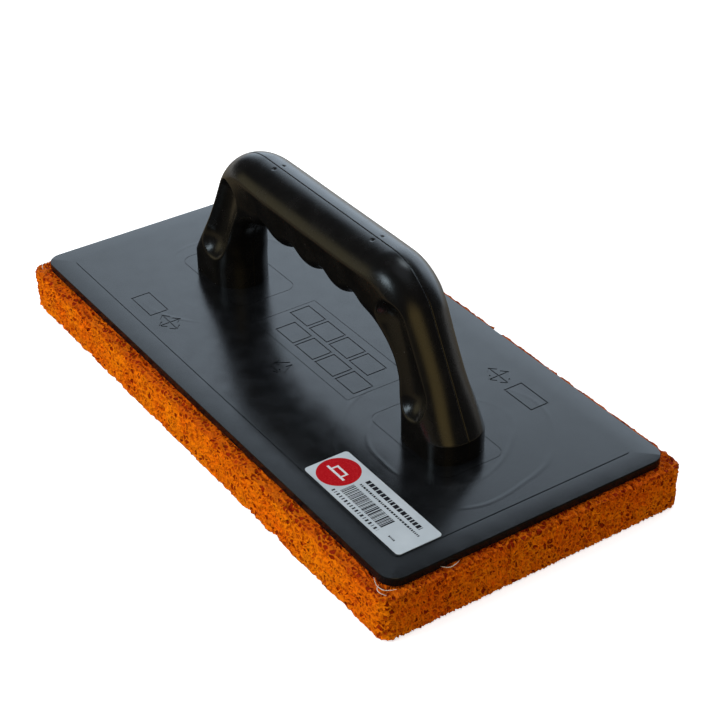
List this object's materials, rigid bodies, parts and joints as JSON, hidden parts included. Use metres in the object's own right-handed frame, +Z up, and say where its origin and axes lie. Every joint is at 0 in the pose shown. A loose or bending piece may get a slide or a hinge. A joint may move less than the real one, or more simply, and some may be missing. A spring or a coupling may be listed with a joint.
{
  "type": "grout float",
  "caption": "Rectangular foam rubber pad bonded under a moulded plate, with a hollow two-shell bridge grip with finger ridges fixed on at both ends.",
  "frame": {"origin": "centre of the foam pad's underside, which is the bottom centre of the bounding box", "axes": "+X along the float's length, +Z up from the working face to the grip"},
  "size_m": [0.28, 0.14, 0.0941],
  "materials": {
    "foam_rubber": "matte open-cell orange foam rubber with pores of 0.5 to 3 mm",
    "glue": "whitish dried contact glue",
    "plate_plastic": "black moulded plastic, semi-gloss with a fine moulded grain",
    "grip_plastic": "black moulded plastic, satin with a fine grain",
    "screw_steel": "zinc-plated steel",
    "label_paper": "white coated sticker with print"
  },
  "bodies": {
    "root": {"sponge_pad": "foam_rubber", "glue_film": "glue", "base_plate": "plate_plastic", "grip_shell_near": "grip_plastic", "grip_shell_far": "grip_plastic", "foot_screws": "screw_steel", "label": "label_paper"}
  },
  "joints": []
}
